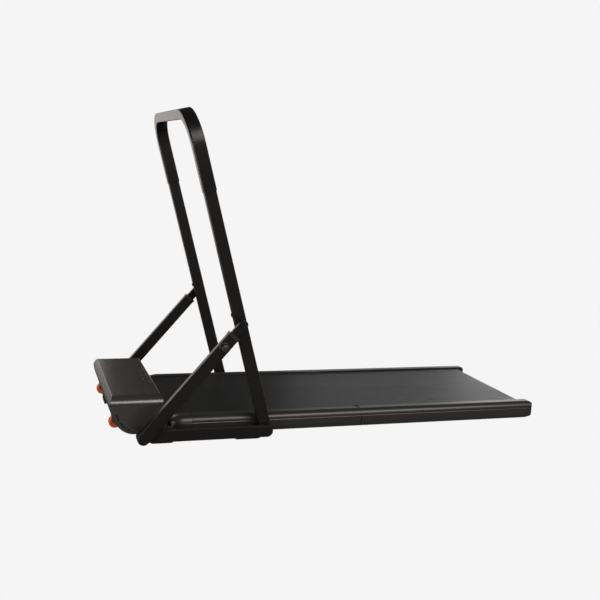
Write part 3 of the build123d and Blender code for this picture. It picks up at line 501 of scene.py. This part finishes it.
def add_nose(word, side):
    """Bullet shaped cap that carries the rail's outline forward and draws it in to a blunt tip."""
    low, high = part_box(f"rail_nose_{word}")
    tip, back = high.x - NOSE_L, high.x
    steps = 30
    verts, faces = [], []
    for step in range(steps + 1):
        share = step / steps
        x = tip + (back - tip) * share ** 1.6
        swell = min(1.0, (x - tip) / NOSE_ROUND)
        size = math.sqrt(1 - (1 - swell) ** 2)
        for y, z in rail_outline:
            reach = RAIL_INNER + (y - RAIL_INNER) * (0.42 + 0.58 * size)
            drop = NOSE_MID_Z + (z - NOSE_MID_Z) * (0.36 + 0.64 * size)
            verts.append((x, side * reach * MM, drop * MM))
    count = len(rail_outline)
    for step in range(steps):
        for index in range(count):
            after = (index + 1) % count
            faces.append((step * count + index, step * count + after, (step + 1) * count + after,
                          (step + 1) * count + index))
    faces += [tuple(range(count)), tuple(range(steps * count, (steps + 1) * count))]
    skirt = bar(rounded_box(31 * MM, 24 * MM, 2 * MM), (low.x, side * 246.5 * MM, 22 * MM),
                (tip + 30 * MM, side * 246.5 * MM, 22 * MM), (0, 1, 0), (0, 0, 1))
    add_piece(f"nose_cap_{word}", verts, faces, "front_deck", "rail_grey", replaced=(f"rail_nose_{word}",))
    add_piece(f"nose_skirt_{word}", *skirt, "front_deck", "trim_black")


def seam_strip(side, x_lo, x_hi):
    """Thin near-black gasket along the rail's outline between two places; it also paints the seam's shade.
    """
    verts, faces = [], []
    loop = rail_outline[1:-1]
    for x in (x_lo, x_hi):
        for stand in (0.22, -0.6):
            for y, z in loop:
                away = Vector((y - RAIL_MID, z - NOSE_MID_Z)).normalized() * stand
                verts.append((x, side * (y + away.x) * MM, (z + away.y) * MM))
    count = len(loop)
    for index in range(count - 1):
        for near, far in ((0, 1), (2, 0), (3, 2), (1, 3)):
            faces.append((near * count + index, near * count + index + 1, far * count + index + 1,
                          far * count + index))
    for end in (0, count - 1):
        faces.append((end, count + end, 3 * count + end, 2 * count + end))
    return verts, faces


for word, side in SIDES:
    add_nose(word, side)
start_x, seam_x = (corner.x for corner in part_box("front_rail_left"))
# the seam strips paint the shade in the gaps where nose and rail meet, over a dark gasket
seam_shade_strips = []
for _, side in SIDES:
    seam_shade_strips.append(seam_strip(side, start_x - 0.1 * MM, start_x + 0.9 * MM))
    seam_shade_strips.append(seam_strip(side, seam_x - 1.7 * MM, seam_x))
add_piece("rail_seam_shade", *joined(seam_shade_strips), "front_deck", "trim_black", material=slot_shade_paint)


# ---------------------------------------------------------------- wheels
TREAD_RADIUS = 18.5 * MM        # the tyre's notches are cut outside this


def tread(angle, radius, height):
    """Shallow notches across the tyre."""
    notch = 0.5 - 0.5 * math.cos(24 * angle)
    return radius - 0.5 * MM * notch ** 6 if radius > TREAD_RADIUS else radius


# distance along the axle and radius, in millimetres
half_wheel = ((8.5, 4.6), (8.5, 7), (7.8, 7.6), (5.5, 8.2), (5.5, 12.4), (7.6, 13), (8.5, 14),
              (8.5, 16.4), (7.4, 18.6), (5.6, 19.5), (1.6, 19.5), (1.0, 18.8))
for word, side in SIDES:
    low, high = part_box(f"wheel_{word}")
    profile = [(height * MM, radius * MM) for height, radius in half_wheel]
    profile += [(-height, radius) for height, radius in reversed(profile)]
    geometry = turned(profile, (low + high) / 2, (0, side, 0), 144, tread, ring=True)
    add_piece(f"tyre_{word}", *geometry, f"wheel_{word}", "wheel_orange", replaced=(f"wheel_{word}",))


# ---------------------------------------------------------------- lock knobs and their bezels
KNOB_RISE = 13.7 * MM
RIB_RADIUS = 11.4 * MM          # the knob's finger ribs are cut outside this


def grips(angle, radius, height):
    """Finger ribs round a knob's rim."""
    return radius - 0.45 * MM * (0.5 + 0.5 * math.cos(20 * angle)) if radius > RIB_RADIUS else radius


# height above the seat and radius, in millimetres
knob_profile = ((-3.1, 0), (-3.1, 4), (0, 4), (0, 10.8), (0.8, 11.8), (1.6, 12), (8.6, 12),
                (10.2, 11.6), (11.2, 10.8), (12.2, 9.6), (12.4, 8.6), (12.2, 8.0), (12.7, 7.2),
                (13.3, 5), (13.6, 2.4), (13.7, 0))
bezel_profile = ((0, 12.6), (0, 17.4), (2.6, 17.4), (4.2, 16.8), (5, 15.8), (5, 15), (4.4, 14.7),
                 (5, 14.4), (5, 13.4), (4.6, 12.8), (3.8, 12.6))
bezels = []
for word, side in SIDES:
    low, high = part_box(f"lock_knob_{word}")
    outer = high.y if side > 0 else low.y
    seat = Vector(((low.x + high.x) / 2, outer - side * KNOB_RISE, (low.z + high.z) / 2))
    geometry = turned([(h * MM, r * MM) for h, r in knob_profile], seat, (0, side, 0), 160, grips)
    add_piece(f"knob_cap_{word}", *geometry, f"lock_knob_{word}", "trim_black",
              replaced=(f"lock_knob_{word}",))
    seat.y -= side * 0.3 * MM
    bezels.append(turned([(h * MM, r * MM) for h, r in bezel_profile], seat, (0, side, 0), 96, ring=True))
add_piece("knob_bezel_rings", *joined(bezels), "lower_braces", "trim_black", replaced=("knob_bezels",))


# ---------------------------------------------------------------- screws, marks and trims
RECESS_RADIUS = 1.9 * MM


def hex_recess(angle, radius, height):
    """Six flats in the middle of a screw head."""
    if radius > RECESS_RADIUS:
        return radius
    return radius * math.cos(math.pi / 6) / math.cos(angle % (math.pi / 3) - math.pi / 6)


screw_profile = ((0, 0), (0, 4), (0.7, 4), (1.5, 3.5), (2.1, 2.4), (2.2, 1.8), (0.9, 1.7), (0.9, 0))


def screws(places):
    """Button head screws at each (place, axis)."""
    return joined([turned([(h * MM, r * MM) for h, r in screw_profile], place, axis, 48, hex_recess)
                   for place, axis in places])


def pivot_of(word, y):
    """Where an upright turns, at y; its foot is rounded about that point."""
    return Vector((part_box(f"upright_{word}")[1].x - UPRIGHT_W / 2, y, PIVOT_Z))


up = Vector((-math.sin(LEAN), 0, math.cos(LEAN)))
level = Vector((math.cos(LEAN), 0, math.sin(LEAN)))
bolts = []
for word, side in SIDES:
    low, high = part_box(f"upright_{word}")
    outer = high.y if side > 0 else low.y
    bolts.append((pivot_of(word, outer) + up * 27 * MM, (0, side, 0)))
add_piece("upright_screws", *screws(bolts), "handle", "frame_black")

window_lo, window_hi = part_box("display_window")
window_x = (window_lo.x + window_hi.x) / 2
dash = rounded_box(1.6 * MM, 0.3 * MM, 0.12 * MM, 2)
marks = [bar(dash, (window_x, middle - 8 * MM, window_hi.z), (window_x, middle + 8 * MM, window_hi.z),
             (1, 0, 0), (0, 0, 1)) for middle in (-53 * MM, 0, 53 * MM)]
add_piece("display_marks", *joined(marks), "front_deck", "window_smoke", material=mark_paint)

cover_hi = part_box("hood_cover")[1]
edge_x, edge_z, edge_half = cover_hi.x - 21 * MM, cover_hi.z - 0.3 * MM, 228 * MM
bead = rounded_box(1.6 * MM, 1.6 * MM, 0.75 * MM)
bead_bar = bar(bead, (edge_x, -edge_half, edge_z), (edge_x, edge_half, edge_z), (1, 0, 0), (0, 0, 1))
add_piece("hood_rear_bead", *bead_bar, "front_deck", "hood_black")

rings = []
for word, _ in SIDES:
    low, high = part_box(f"upright_{word}")
    start = pivot_of(word, (low.y + high.y) / 2) + up * ((GRIP_START_Z - PIVOT_Z) / math.cos(LEAN))
    rings.append(bar(rounded_box(40.4 * MM, 31 * MM, 5 * MM), start - up * 2.5 * MM, start + up * 1 * MM,
                     level, (0, 1, 0)))
add_piece("grip_end_rings", *joined(rings), "handle", "grip_black")
